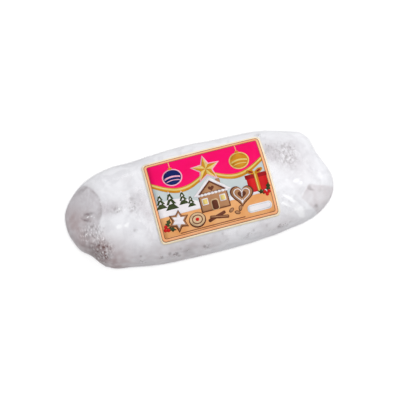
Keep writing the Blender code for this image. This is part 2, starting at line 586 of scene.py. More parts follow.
@dataclass(frozen=True)
class Mark:
    """An oval area on the loaf's upper side: its middle and half-lengths in plan, its strength and its turn.

    An edge of 2 fades softly from the middle outwards, and a higher one keeps the area even up to a crisper
    edge. With a tall of its own, the area also ends that far above and below the height z.
    """

    x: float
    y: float
    along: float
    across: float
    strength: float = 1.0
    turn_deg: float = 0.0
    edge: float = 2.0
    z: float = 0.0
    tall: float = 0.0

    def reach(self, points: np.ndarray) -> np.ndarray:
        """How far out each point lies: 0 at the mark's middle and 1 on its oval."""
        turn = math.radians(self.turn_deg)
        dx, dy = points[:, 0] - self.x, points[:, 1] - self.y
        u = (dx * math.cos(turn) + dy * math.sin(turn)) / self.along
        v = (-dx * math.sin(turn) + dy * math.cos(turn)) / self.across
        w = (points[:, 2] - self.z) / self.tall if self.tall else 0.0
        return np.sqrt(u * u + v * v + w * w)

    def weigh(self, points: np.ndarray) -> np.ndarray:
        """The mark's strength at each point, and nothing on the loaf's underside."""
        upper = eased(points[:, 2], UPPER_FROM, UPPER_FULL)
        return self.strength * np.exp(-self.reach(points) ** self.edge) * upper


def spot(x: float, y: float, z: float, size: float, strength: float) -> Mark:
    """A small round spot on one of the loaf's steep sides, where a plan view would stretch it."""
    return Mark(x, y, size, 1.6 * size, strength, edge=3.0, z=z, tall=1.5 * size)


def total(marks: tuple[Mark | Panel, ...], points: np.ndarray) -> np.ndarray:
    """The sum of the strengths of marks and panels at each point."""
    return sum(mark.weigh(points) for mark in marks)


@dataclass(frozen=True)
class Dent:
    """A hollow in the wrapped loaf: the area it takes, how deep it is and how high a rim it throws up."""

    area: Mark
    depth: float
    rim: float = 0.0
    rim_reach: float = 1.45
    rim_width: float = 0.33

    def relief(self, points: np.ndarray, ragged: np.ndarray) -> np.ndarray:
        """The change in height at each point, where the ragged factors pull the hollow's outline about."""
        reach = self.area.reach(points) * ragged
        upper = eased(points[:, 2], UPPER_FROM, UPPER_FULL)
        ring = np.exp(-(((reach - self.rim_reach) / self.rim_width) ** 2))
        return (self.rim * ring - self.depth * np.exp(-reach ** self.area.edge)) * upper


@dataclass(frozen=True)
class Panel:
    """A flat panel of film between folds: its convex outline in plan, anticlockwise, and its strength.

    Its edge fades over the blur to either side of the outline.
    """

    corners: tuple[tuple[float, float], ...]
    strength: float
    blur: float = 0.0007

    def weigh(self, points: np.ndarray) -> np.ndarray:
        """The panel's strength at each point, and nothing on the loaf's underside."""
        inside = self.strength * eased(points[:, 2], UPPER_FROM, UPPER_FULL)
        for (ax, ay), (bx, by) in zip(self.corners, self.corners[1:] + self.corners[:1]):
            aside = (bx - ax) * (points[:, 1] - ay) - (by - ay) * (points[:, 0] - ax)
            inside = inside * eased(aside / math.hypot(bx - ax, by - ay), -self.blur, self.blur)
        return inside


# The loaf's core is a line along X at this height and of this half-length, from which its folds point out.
CORE_HALF, CORE_HEIGHT = 0.070, 0.024


@dataclass(frozen=True)
class Fold:
    """A crease of the film between two points of the loaf, bowed sideways by bow. A negative rise cuts in."""

    start: tuple[float, float, float]
    end: tuple[float, float, float]
    rise: float
    half_width: float = 0.0010
    bow: float = 0.0

    def relief(self, points: np.ndarray) -> np.ndarray:
        """The crease's height at each point. It follows the surface and tapers towards both of its ends."""
        start, end = np.array(self.start), np.array(self.end)
        run, middle = end - start, (start + end) / 2
        core = np.array([np.clip(middle[0], -CORE_HALF, CORE_HALF), 0.0, CORE_HEIGHT])
        out = middle - core
        side = np.cross(run, out)
        side /= np.linalg.norm(side)
        share = (points - start) @ run / (run @ run)
        inside = np.clip(share, 0.0, 1.0)
        aside = (points - start) @ side - self.bow * 4 * inside * (1 - inside)
        taper = eased(share, -0.02, 0.20) * (1 - eased(share, 0.80, 1.02)) * ((points - core) @ out > 0)
        return self.rise * taper * np.exp(-((aside / self.half_width) ** 2))


# The pucker in the film's left face, the outlines of the flat faces at both ends, the torn patch of sugar at
# the front left and the crinkles above it.
PUCKER = Mark(-0.0955, 0.0046, 0.0062, 0.0036, turn_deg=-21.0, edge=3.0)
LEFT_CORNERS = (
    (-0.0960, -0.0150), (-0.0890, -0.0080), (-0.0850, -0.0010), (-0.0822, 0.0060), (-0.0816, 0.0111),
    (-0.0828, 0.0207), (-0.0871, 0.0291), (-0.0935, 0.0345), (-0.1180, 0.0345), (-0.1180, -0.0150),
)
RIGHT_CORNERS = (
    (0.0914, -0.0171), (0.0806, -0.0290), (0.0931, -0.0386), (0.0980, -0.0440), (0.1180, -0.0300),
    (0.1180, -0.0228),
)
SUGAR_PATCH = Mark(-0.0918, -0.0278, 0.0108, 0.0092, turn_deg=20.0, edge=3.0)
CRINKLES = Mark(-0.0962, -0.0105, 0.0100, 0.0085, turn_deg=-15.0, edge=3.0)
DENTS = (
    Dent(PUCKER, 0.0009, 0.0001),
    Dent(Mark(-0.0928, 0.0040, 0.0020, 0.0010, turn_deg=-21.0), -0.0008),
    Dent(Mark(-0.0688, 0.0020, 0.0028, 0.0016, edge=3.0), 0.0005, 0.0001),
    Dent(Mark(-0.0570, -0.0012, 0.0022, 0.0014, edge=3.0), 0.0004, 0.0001),
    Dent(Mark(-0.0740, 0.0055, 0.0080, 0.0045), 0.0005),
    Dent(Mark(-0.0560, 0.0060, 0.0050, 0.0060), 0.0004),
    Dent(SUGAR_PATCH, 0.0006),
    Dent(Mark(-0.0610, -0.0180, 0.0030, 0.0020, edge=3.0), 0.0003),
    Dent(Mark(0.0800, 0.0120, 0.0100, 0.0100), 0.0003),
    Dent(Mark(0.0933, -0.0200, 0.0026, 0.0018, edge=3.0), 0.0005),
)
UPPER_LID = ((-0.1010, 0.0074, 0.0361), (-0.0888, 0.0052, 0.0424))
LOWER_LID = ((-0.1024, 0.0070, 0.0355), (-0.0922, -0.0006, 0.0411))
LEFT_FACE_RIM = ((-0.0890, 0.0285, 0.0383), (-0.0864, -0.0020, 0.0440))
# Painted shade along the pucker's lids and the left face's rim, where the film's creases shade the sugar.
PAINTED_CREASE_SHADE = (
    Fold(*UPPER_LID, rise=0.50, half_width=0.0008, bow=-0.0008),
    Fold(*LOWER_LID, rise=0.62, half_width=0.0007, bow=0.0013),
    Fold(*LEFT_FACE_RIM, rise=0.30, half_width=0.0008, bow=-0.0060),
)
FOLDS = (
    Fold(*UPPER_LID, rise=-0.00050, half_width=0.0008, bow=-0.0008),
    Fold(*LOWER_LID, rise=-0.00045, half_width=0.0008, bow=0.0013),
    Fold(*LEFT_FACE_RIM, rise=-0.00040, half_width=0.0009, bow=-0.0074),
    Fold(*LEFT_FACE_RIM, rise=0.00022, half_width=0.0011, bow=-0.0098),
    Fold((-0.1010, 0.0250, 0.0340), (-0.0880, 0.0210, 0.0400), 0.00025),
    Fold((-0.1050, 0.0150, 0.0330), (-0.0985, 0.0085, 0.0365), -0.00025),
    Fold((-0.1130, -0.0020, 0.0270), (-0.0960, -0.0120, 0.0390), 0.00025),
    Fold((-0.0980, -0.0020, 0.0380), (-0.0930, -0.0230, 0.0390), 0.00030, bow=0.0010),
    Fold((-0.0900, -0.0030, 0.0420), (-0.0890, -0.0190, 0.0425), -0.00030, bow=-0.0012),
    Fold((0.0905, -0.0170, 0.0460), (0.1150, -0.0225, 0.0300), 0.00035),
    Fold((0.0918, -0.0165, 0.0457), (0.0800, -0.0294, 0.0438), 0.00030),
    Fold((0.0800, -0.0284, 0.0440), (0.0950, -0.0400, 0.0270), 0.00035),
    Fold((0.0880, -0.0195, 0.0443), (0.0960, -0.0350, 0.0250), -0.00028),
    Fold((0.0685, -0.0214, 0.0479), (0.0785, -0.0305, 0.0420), 0.00040),
    Fold((0.0655, -0.0235, 0.0470), (0.0755, -0.0325, 0.0400), -0.00030),
    Fold((0.0640, -0.0265, 0.0462), (0.0730, -0.0335, 0.0400), 0.00035),
    Fold((0.0735, -0.0098, 0.0499), (0.0900, -0.0150, 0.0462), -0.00022),
    Fold((0.0850, 0.0080, 0.0480), (0.0990, -0.0150, 0.0420), 0.00022, bow=0.0020),
    Fold((0.0990, 0.0250, 0.0350), (0.1060, -0.0120, 0.0370), -0.00022, bow=0.0012),
    Fold((0.1120, 0.0100, 0.0300), (0.1080, 0.0060, 0.0060), 0.00035),
    Fold((0.1010, 0.0350, 0.0280), (0.1130, 0.0020, 0.0160), 0.00035),
    Fold((0.1120, -0.0280, 0.0230), (0.1140, -0.0030, 0.0150), -0.00035),
    Fold((-0.1140, 0.0120, 0.0240), (-0.1130, 0.0060, 0.0050), 0.00035),
    Fold((-0.1060, 0.0260, 0.0200), (-0.1130, 0.0060, 0.0120), -0.00030),
)


@dataclass
class LoafForm:
    """The smooth outer form of the wrapped loaf, which the sugared loaf, the film and the label share."""

    steps_around: int = 192
    rings: int = 120
    voxel: float = 0.00085
    smoothing: int = 14
    raggedness: float = 0.55
    rag_size: float = 0.0040

    def build(self) -> bpy.types.Object:
        """Shapes a sphere onto the solid, evens its mesh out and presses the dents in.

        Returns:
            The form, closed and fine enough to carve. Each piece takes a copy, so that all of them fit.
        """
        low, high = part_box(LOAF_NODE)
        middle, half = (low + high) / 2, (high - low) / 2
        deselect()
        bpy.ops.mesh.primitive_uv_sphere_add(
            segments=self.steps_around, ring_count=self.rings, location=middle,
        )
        piece = bpy.context.active_object
        piece.name = "loaf_form"
        bpy.ops.transform.resize(value=half)
        bpy.ops.object.transform_apply(location=True, rotation=True, scale=True)
        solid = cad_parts[LOAF_NODE]
        apply_modifier(piece, "SHRINKWRAP", target=solid, wrap_method="TARGET_PROJECT")
        apply_modifier(piece, "REMESH", mode="VOXEL", voxel_size=self.voxel)
        apply_modifier(piece, "SMOOTH", factor=0.5, iterations=self.smoothing)
        points, normals = read_points(piece)
        ragged = 1 + self.raggedness * noise_at(points, self.rag_size, RAG_SEED)
        relief = sum(dent.relief(points, ragged) for dent in DENTS)
        write_points(piece, points + normals * relief[:, None])
        piece.data.shade_smooth()
        return piece


def total_relief(folds: tuple[Fold, ...], points: np.ndarray) -> np.ndarray:
    """The sum of the heights of folds at each point."""
    return sum(fold.relief(points) for fold in folds)


def raise_surface(piece: bpy.types.Object, relief: np.ndarray) -> None:
    """Moves a closed piece's points out by their relief and keeps them on or above the ground.

    Args:
        piece: a mesh piece.
        relief: how far each point moves along its normal.
    """
    points, normals = read_points(piece)
    points += normals * relief[:, None]
    points[:, 2] = np.maximum(points[:, 2], 0.0)
    write_points(piece, points)


@dataclass
class SugaredLoaf:
    """The loaf under its film: a browned crust with butter and a thick, clumpy coat of icing sugar.

    The coat is thinner low on the sides and underneath; low on the sides this darkening is also painted shade
    along the loaf's lower edge. A pair of numbers is where an eased step starts and where it is full: in
    height for the sides, in slope for the underside and in strength for painted glints.
    """

    form: bpy.types.Object
    finish: SugarFinish
    inset: float = 0.00070
    lump: float = 0.00018
    lump_size: float = 0.0110
    clump: float = 0.00011
    clump_size: float = 0.0048
    crumb: float = 0.00008
    crumb_size: float = 0.0021
    cover: float = 0.84
    side_bareness_and_shade: float = 0.32
    under_bareness: float = 0.16
    patch_bareness: float = 0.48
    side_pink: float = 0.12
    side_specks: float = 0.24
    crease_shade: float = 0.70
    side_heights: tuple[float, float] = (0.004, 0.022)
    under_slopes: tuple[float, float] = (0.3, 0.8)
    painted_glint_steps: tuple[float, float] = (0.35, 0.75)
    slot: str = "sugared_loaf"
    # Grey on the sugar, partly butter-greyed sugar and partly painted shade: over the left face, which is
    # turned from the lamps, round it, and in the patches beside the label.
    lilac: tuple[Mark | Panel, ...] = (
        # Painted shade over the left face, which is turned from the lamps.
        Panel(LEFT_CORNERS, 0.80, 0.0014),
        Mark(-0.1010, 0.0130, 0.0105, 0.0170, 0.30, edge=3.0),
        Mark(-0.0806, 0.0068, 0.0034, 0.0075, 0.42, edge=4.0),
        Mark(-0.0850, 0.0230, 0.0050, 0.0080, 0.25, 20.0, 4.0),
        Mark(0.0930, 0.0010, 0.0110, 0.0180, 0.34, edge=4.0),
        Mark(-0.0740, 0.0050, 0.0085, 0.0048, 0.75),
        Mark(-0.0745, 0.0060, 0.0100, 0.0080, 0.20, edge=3.0),
        Mark(-0.0448, -0.0085, 0.0040, 0.0080, 0.60),
        Mark(-0.0604, -0.0395, 0.0080, 0.0070, 0.50),
        Mark(-0.0570, 0.0040, 0.0045, 0.0080, 0.50),
        Mark(-0.0490, 0.0030, 0.0060, 0.0130, 0.75),
        Mark(-0.0560, 0.0260, 0.0050, 0.0050, 0.30),
        Mark(-0.0470, -0.0290, 0.0060, 0.0090, 0.50),
        Mark(-0.0740, -0.0270, 0.0140, 0.0110, 0.38),
        Mark(0.0790, 0.0140, 0.0140, 0.0150, 0.53, edge=2.5),
        Mark(0.0870, 0.0205, 0.0070, 0.0050, 0.30, edge=4.0),
        Mark(0.0665, 0.0215, 0.0060, 0.0080, 0.60),
        Mark(0.0662, 0.0140, 0.0038, 0.0060, 0.60),
        Mark(0.0795, -0.0015, 0.0110, 0.0130, 0.28, edge=3.0),
        Mark(0.0830, -0.0210, 0.0050, 0.0050, 0.28),
        Mark(0.0700, 0.0170, 0.0060, 0.0080, 0.45),
    )
    # Sugar so thin that the crust shows through: round the left end, along the front, and the right face.
    pink: tuple[Mark | Panel, ...] = (
        Mark(-0.1090, 0.0040, 0.0070, 0.0130, 0.70),
        Mark(-0.0985, 0.0060, 0.0080, 0.0070, 0.40, -21.0),
        Mark(-0.1045, -0.0120, 0.0080, 0.0085, 0.60),
        Mark(-0.0935, -0.0250, 0.0120, 0.0115, 1.00),
        Mark(-0.0800, -0.0390, 0.0130, 0.0100, 0.75),
        Mark(-0.0240, -0.0430, 0.0380, 0.0090, 0.40, 0.0, 3.0),
        Mark(0.0560, -0.0420, 0.0230, 0.0070, 0.26),
        Panel(RIGHT_CORNERS, 0.34, 0.0012),
        Mark(0.0880, -0.0270, 0.0045, 0.0050, -0.14, -45.0),
    )
    # Brown specks: the torn patch, the upper side, and then the front side from left to right.
    specks: tuple[Mark, ...] = (
        SUGAR_PATCH,
        Mark(-0.0940, -0.0100, 0.0080, 0.0090, 0.35),
        Mark(0.0800, 0.0110, 0.0105, 0.0145, 0.62, edge=3.0),
        Mark(0.0665, 0.0200, 0.0040, 0.0060, 0.70),
        Mark(0.0640, 0.0370, 0.0060, 0.0040, 0.60),
        Mark(-0.0720, 0.0035, 0.0070, 0.0045, 0.40),
        Mark(-0.0560, 0.0040, 0.0055, 0.0085, 0.45),
        Mark(-0.0610, -0.0200, 0.0040, 0.0040, 0.35),
        Mark(-0.0590, -0.0440, 0.0045, 0.0120, 0.80, z=0.0280, tall=0.0040),
        Mark(-0.0430, -0.0440, 0.0030, 0.0120, 0.60, z=0.0310, tall=0.0040),
        Mark(-0.0330, -0.0450, 0.0060, 0.0120, 1.00, edge=3.0, z=0.0290, tall=0.0045),
        Mark(-0.0200, -0.0450, 0.0040, 0.0120, 0.45, z=0.0300, tall=0.0040),
        Mark(-0.0040, -0.0450, 0.0040, 0.0120, 0.80, z=0.0330, tall=0.0040),
        Mark(0.0110, -0.0440, 0.0050, 0.0120, 0.45, z=0.0350, tall=0.0040),
        Mark(0.0330, -0.0440, 0.0070, 0.0120, 0.60, z=0.0330, tall=0.0040),
        Mark(0.0610, -0.0430, 0.0120, 0.0120, 0.70, z=0.0300, tall=0.0045),
    )
    # Painted glints and highlights of the film: round the pucker, on the left half, and then on the right
    # half.
    bright: tuple[Mark, ...] = (
        Mark(-0.0924, 0.0040, 0.0015, 0.0008, 1.0, -21.0),
        Mark(-0.0903, 0.0022, 0.0010, 0.0008, 0.6),
        Mark(-0.0958, 0.0047, 0.0019, 0.0006, 0.72, -21.0),
        Mark(-0.0680, 0.0024, 0.0011, 0.0009, 1.0),
        Mark(-0.0566, -0.0008, 0.0010, 0.0008, 0.9),
        Mark(-0.0721, -0.0124, 0.0026, 0.0018, 0.55, -8.0),
        Mark(-0.0652, -0.0126, 0.0024, 0.0010, 0.50, 25.0),
        Mark(-0.0590, -0.0230, 0.0024, 0.0028, 0.22),
        Mark(-0.0620, -0.0140, 0.0165, 0.0085, 0.41, edge=3.0),
        Mark(0.0824, -0.0120, 0.0038, 0.0025, 0.80, 12.0),
        Mark(0.0790, -0.0365, 0.0065, 0.0045, 0.85, -35.0, 3.0),
        Mark(0.0742, -0.0098, 0.0022, 0.0016, 0.60),
        Mark(0.0728, -0.0255, 0.0068, 0.0013, 1.2, -43.0),
        Mark(0.0682, -0.0288, 0.0048, 0.0011, 1.0, -38.0),
        Mark(0.0960, 0.0080, 0.0060, 0.0090, 0.5, 20.0),
    )
    # Small shadows: in the creases at the pucker and beside hollows, and then between clumps of sugar.
    shade: tuple[Mark, ...] = (
        Mark(-0.0942, 0.0060, 0.0019, 0.0012, 0.38, -12.0),
        Mark(-0.0988, 0.0062, 0.0022, 0.0013, 0.40, -21.0),
        Mark(-0.0958, 0.0024, 0.0030, 0.0009, 0.32, -32.0),
        Mark(-0.0852, 0.0036, 0.0022, 0.0045, 0.26, -15.0),
        Mark(-0.0985, -0.0235, 0.0070, 0.0050, 0.42, -45.0),
        Mark(-0.0932, -0.0285, 0.0060, 0.0045, 0.26, -30.0),
        Mark(-0.0934, 0.0299, 0.0062, 0.0026, 0.38, 20.0),
        Mark(-0.0695, 0.0006, 0.0022, 0.0009, 0.42, 10.0),
        Mark(-0.0712, 0.0032, 0.0012, 0.0013, 0.35),
        Mark(-0.0580, -0.0024, 0.0020, 0.0009, 0.38, -10.0),
        Mark(-0.0552, 0.0008, 0.0010, 0.0011, 0.30),
        Mark(-0.0552, 0.0076, 0.0030, 0.0022, 0.28),
        Mark(-0.0600, -0.0190, 0.0011, 0.0012, 0.38),
        Mark(0.0916, -0.0197, 0.0018, 0.0017, 0.22, edge=4.0),
        Mark(0.0752, 0.0150, 0.0016, 0.0022, 0.34),
        Mark(0.0704, 0.0112, 0.0012, 0.0014, 0.28),
        Mark(0.0782, 0.0096, 0.0015, 0.0012, 0.34),
        Mark(0.0786, 0.0200, 0.0012, 0.0026, 0.28),
        Mark(0.0812, 0.0040, 0.0016, 0.0012, 0.32),
        Mark(0.0850, 0.0180, 0.0012, 0.0012, 0.24),
        Mark(-0.1030, -0.0160, 0.0050, 0.0050, 0.10),
        spot(-0.0603, -0.0397, 0.0362, 0.0009, 0.34),
        spot(-0.0433, -0.0441, 0.0309, 0.0012, 0.42),
        spot(-0.0360, -0.0429, 0.0332, 0.0015, 0.38),
        spot(-0.0302, -0.0438, 0.0302, 0.0016, 0.52),
        spot(-0.0285, -0.0452, 0.0261, 0.0014, 0.50),
        spot(-0.0261, -0.0415, 0.0354, 0.0010, 0.30),
        spot(-0.0200, -0.0447, 0.0299, 0.0045, 0.26),
        spot(-0.0061, -0.0446, 0.0333, 0.0014, 0.42),
        spot(-0.0037, -0.0457, 0.0311, 0.0011, 0.36),
        spot(0.0109, -0.0392, 0.0411, 0.0012, 0.26),
        spot(0.0371, -0.0425, 0.0367, 0.0010, 0.34),
        spot(0.0488, -0.0414, 0.0376, 0.0010, 0.30),
        spot(0.0600, -0.0440, 0.0300, 0.0026, 0.22),
        spot(0.0590, -0.0437, 0.0316, 0.0009, 0.24),
        spot(0.0661, -0.0443, 0.0270, 0.0011, 0.26),
        Mark(0.0930, -0.0215, 0.0024, 0.0010, 0.40, -20.0),
        Mark(0.0943, -0.0351, 0.0018, 0.0014, 0.55),
    )
    # Where the film over the sugar is crinkled into tiny facets, whose shade and glints are painted on the
    # sugar.
    crinkled: tuple[Mark, ...] = (
        CRINKLES,
        Mark(-0.0912, -0.0278, 0.0098, 0.0082, 0.90, edge=3.0),
        Mark(-0.0700, 0.0024, 0.0055, 0.0034, 0.55),
        Mark(-0.0565, -0.0002, 0.0045, 0.0040, 0.50),
        Mark(0.0720, -0.0270, 0.0110, 0.0070, 0.25, -40.0),
        Mark(0.0790, 0.0125, 0.0105, 0.0125, 0.52, edge=3.0),
    )

    def build(self) -> bpy.types.Object:
        """Carves the sugar, stores where it is thick, thin or stained, and where painted shade and glints go.

        Returns:
            The finished piece.
        """
        piece = copy_of(self.form, "sugared_loaf")
        points, normals = read_points(piece)
        lumps = noise_at(points, self.lump_size, LUMP_SEED)
        clumps = noise_at(points, self.clump_size, CLUMP_SEED)
        crumbs = noise_at(points, self.crumb_size, CRUMB_SEED)
        raise_surface(piece, self.lump * lumps + self.clump * clumps + self.crumb * crumbs - self.inset)
        # Low on the sides the sugar thins to the crust; this darkening also stands in for the shade along the
        # lower edge.
        low_side = 1 - eased(points[:, 2], *self.side_heights)
        under = eased(-normals[:, 2], *self.under_slopes)
        bare = self.side_bareness_and_shade * low_side + self.under_bareness * under
        bare += self.patch_bareness * SUGAR_PATCH.weigh(points)
        torn = 1 + 0.55 * clumps + 0.35 * crumbs
        # Painted shade in the film's creases, added to the small shadows.
        creases = total_relief(PAINTED_CREASE_SHADE, points) * (1 + 1.1 * crumbs)
        shade = total(self.shade, points) + self.crease_shade * np.maximum(creases, 0)
        pink = total(self.pink, points) + self.side_pink * low_side
        masks = {
            SugarMask.COVER: self.cover - bare + 0.07 * lumps + 0.03 * clumps,
            SugarMask.LILAC: total(self.lilac, points) * (1 + 0.25 * clumps + 0.35 * crumbs),
            SugarMask.PINK: pink * (1 + 0.5 * clumps),
            SugarMask.SPECKS: total(self.specks, points) + self.side_specks * low_side,
            # Painted glints: the sugar's colour is lifted to white where the film would catch the light.
            SugarMask.BRIGHT: eased(total(self.bright, points) * torn, *self.painted_glint_steps),
            SugarMask.SHADE: shade * torn,
            SugarMask.CRINKLED: total(self.crinkled, points) * torn,
        }
        for mask, values in masks.items():
            write_mask(piece, mask.value, np.clip(values, 0, 1))
        self.dress(piece)
        return piece

    def dress(self, piece: bpy.types.Object) -> None:
        """Gives the loaf its sugar and its place in the frame."""
        piece.data.materials.append(self.finish.material("icing_sugar"))
        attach(piece, BODY)
        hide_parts(LOAF_NODE)


@dataclass
class Film:
    """The clear film, stretched tight over the loaf and puckered where it is closed at the left end.

    The pleats set in and end at some reach from the pucker, and they start at a height. A pair of numbers is
    where such an eased step starts and where it is full.
    """

    form: bpy.types.Object
    finish: FilmFinish
    lift: float = 0.00010
    crease: float = 0.00009
    crease_size: float = 0.0060
    crease_stretch: tuple[float, float, float] = (0.55, 1.0, 1.0)
    crease_narrowness: float = 6.0
    pleat: float = 0.00016
    pleats: int = 20
    pleat_waver: float = 2.5
    waver_size: float = 0.012
    pleats_start: tuple[float, float] = (1.2, 2.0)
    pleats_end: tuple[float, float] = (2.6, 4.5)
    pleats_rise: tuple[float, float] = (0.010, 0.020)
    tight: float = 0.30
    slot: str = "clear_film"
    loose: tuple[Mark | Panel, ...] = (
        Mark(-0.0940, -0.0090, 0.0110, 0.0140, 0.9),
        Mark(-0.0660, 0.0000, 0.0160, 0.0140, 0.4),
        Mark(0.0780, -0.0180, 0.0170, 0.0160, 0.7),
        Panel(RIGHT_CORNERS, 0.6),
        Mark(-0.0300, -0.0420, 0.0500, 0.0080, 0.4),
    )

    def build(self) -> bpy.types.Object:
        """Lays the film just outside the sugar, with creases and folds and with pleats round the pucker.

        Returns:
            The finished piece.
        """
        piece = copy_of(self.form, "clear_film")
        points, _ = read_points(piece)
        wave = noise_at(points * np.array(self.crease_stretch), self.crease_size, CREASE_SEED)
        crease = np.clip(1 - np.abs(wave) * self.crease_narrowness, 0, 1)
        relief = self.lift + self.crease * crease * self.label_calm(points)
        relief += total_relief(FOLDS, points) + self.pleat * self.pleating(points)
        raise_surface(piece, relief)
        write_mask(piece, LOOSENESS, np.clip(self.tight + total(self.loose, points), 0, 1))
        self.dress(piece)
        return piece

    def pleating(self, points: np.ndarray) -> np.ndarray:
        """The waves of the pleats that fan out from the pucker, from -1 to 1, and 0 away from it."""
        angle = np.arctan2(points[:, 1] - PUCKER.y, points[:, 0] - PUCKER.x)
        waver = self.pleat_waver * noise_at(points, self.waver_size, PLEAT_SEED)
        fan = np.sin(angle * self.pleats + waver)
        reach = PUCKER.reach(points)
        ring = eased(reach, *self.pleats_start) * (1 - eased(reach, *self.pleats_end))
        return fan * ring * eased(points[:, 2], *self.pleats_rise)

    def label_calm(self, points: np.ndarray) -> np.ndarray:
        """1 away from the label, falling to 0 under it, where the paper keeps the film flat."""
        low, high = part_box(LABEL_NODE)
        over_x = np.maximum(low.x - points[:, 0], points[:, 0] - high.x)
        over_y = np.maximum(low.y - points[:, 1], points[:, 1] - high.y)
        beside = eased(np.maximum(over_x, over_y), 0.0, 0.005)
        return np.maximum(beside, 1 - eased(points[:, 2], 0.015, 0.025))

    def dress(self, piece: bpy.types.Object) -> None:
        """Gives the film its finish and its place in the frame."""
        piece.data.materials.append(self.finish.material("clear_film"))
        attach(piece, BODY)
        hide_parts(LOAF_NODE)


# ----------------------------------------------------------------------------------------------- the label


class Ink(Enum):
    """The label's inks: each one's own colour and its deeper shade."""

    CREAM = ((0.93, 0.82, 0.62), (0.90, 0.77, 0.55))
    ORANGE = ((0.86, 0.45, 0.235), (0.82, 0.38, 0.175))
    LINE = ((0.27, 0.085, 0.050), (0.22, 0.065, 0.035))
    PEACH = ((0.776, 0.413, 0.181), (0.716, 0.305, 0.102))
    MAGENTA = ((0.87, 0.001, 0.138), (0.82, 0.001, 0.115))
    GOLD = ((0.638, 0.283, 0.020), (0.515, 0.188, 0.010))
    PALE_GOLD = ((0.776, 0.610, 0.223), (0.694, 0.515, 0.127))
    NAVY = ((0.007, 0.017, 0.127), (0.005, 0.012, 0.09))
    PINK = ((0.871, 0.456, 0.578), (0.80, 0.376, 0.515))
    SNOW = ((0.831, 0.791, 0.807), (0.730, 0.686, 0.716))
    SNOW_SHADE = ((0.546, 0.597, 0.597), (0.474, 0.533, 0.546))
    BROWN = ((0.156, 0.048, 0.026), (0.107, 0.032, 0.018))
    TAN = ((0.445, 0.231, 0.117), (0.361, 0.171, 0.080))
    DOUGH = ((0.672, 0.479, 0.287), (0.591, 0.392, 0.216))
    RED = ((0.680, 0.017, 0.019), (0.515, 0.010, 0.013))
    DEEP_RED = ((0.35, 0.008, 0.012), (0.28, 0.006, 0.010))
    GREEN = ((0.061, 0.080, 0.026), (0.034, 0.048, 0.017))


@dataclass(frozen=True)
class Field:
    """One printed shape: its ink, its layer above the paper and its outline in mm on the label.

    With a ring_mm of its own, only a ring of that width is left of it.
    """

    ink: Ink
    level: int
    outline: tuple[tuple[float, float], ...]
    ring_mm: float = 0.0


def turned(points: Outline, x: float, y: float, turn_deg: float = 0.0) -> tuple[tuple[float, float], ...]:
    """The outline turned about its origin and then moved there."""
    c, s = math.cos(math.radians(turn_deg)), math.sin(math.radians(turn_deg))
    return tuple((x + c * px - s * py, y + s * px + c * py) for px, py in points)


def oval(x: float, y: float, rx: float, ry: float, turn_deg: float = 0.0, steps: int = 28) -> tuple:
    """The outline of an oval."""
    angles = [math.tau * k / steps for k in range(steps)]
    return turned([(rx * math.cos(t), ry * math.sin(t)) for t in angles], x, y, turn_deg)


def star(x: float, y: float, outer: float, inner: float, tips: int, turn_deg: float = 90.0) -> tuple:
    """The outline of a star with one tip at turn_deg."""
    radii = [outer, inner] * tips
    angles = [math.pi * k / tips for k in range(2 * tips)]
    return turned([(r * math.cos(t), r * math.sin(t)) for r, t in zip(radii, angles)], x, y, turn_deg)


def block(x: float, y: float, width: float, height: float, corner: float, turn_deg: float = 0.0) -> tuple:
    """The outline of a rectangle with round corners."""
    points = []
    for quarter, (sx, sy) in enumerate(((1, 1), (-1, 1), (-1, -1), (1, -1))):
        for step in range(7):
            t = math.pi / 2 * (quarter + step / 6)
            cx, cy = sx * (width / 2 - corner), sy * (height / 2 - corner)
            points.append((cx + corner * math.cos(t), cy + corner * math.sin(t)))
    return turned(points, x, y, turn_deg)


def heart(x: float, y: float, size: float, turn_deg: float = 0.0, steps: int = 40) -> tuple:
    """The outline of a heart of about this width, by a usual formula whose heart is 32 wide."""
    points = []
    for k in range(steps):
        t = math.tau * k / steps
        side = 16 * math.sin(t) ** 3
        up = 13 * math.cos(t) - 5 * math.cos(2 * t) - 2 * math.cos(3 * t) - math.cos(4 * t)
        points.append((-side * size / 32, up * size / 32))
    return turned(points, x, y, turn_deg)


def leaf(x: float, y: float, length: float, width: float, turn_deg: float, teeth: int = 3) -> tuple:
    """The outline of a holly leaf that starts at a point and runs out at turn_deg."""
    upper = []
    steps = teeth * 4
    for k in range(steps + 1):
        share = k / steps
        swell = math.sin(math.pi * share) * (0.72 + 0.28 * math.cos(math.tau * teeth * share))
        upper.append((length * share, width / 2 * swell))
    lower = [(px, -py) for px, py in reversed(upper[1:-1])]
    return turned(list(reversed(upper + lower)), x, y, turn_deg)


Curve = Callable[[float], float]


def evenly(left: float, right: float, steps: int) -> list[float]:
    """Places from left to right at even steps."""
    return [left + (right - left) * k / steps for k in range(steps + 1)]


def under_curve(left: float, right: float, top: float, edge: Curve, steps: int = 48) -> tuple:
    """The outline of a field that hangs from a straight top down to a curved lower edge."""
    return (*((a, edge(a)) for a in evenly(left, right, steps)), (right, top), (left, top))


def over_curve(left: float, right: float, base: float, edge: Curve, steps: int = 48) -> tuple:
    """The outline of a field that stands on a straight base up to a curved upper edge."""
    return ((left, base), (right, base), *((a, edge(a)) for a in evenly(right, left, steps)))


def strip(centre: Curve, left: float, right: float, thick: float, steps: int = 48) -> tuple:
    """The outline of a band of even thickness along a curve."""
    low = under_curve(left, right, 0.0, lambda a: centre(a) - thick / 2, steps)[:-2]
    high = over_curve(left, right, 0.0, lambda a: centre(a) + thick / 2, steps)[2:]
    return low + high


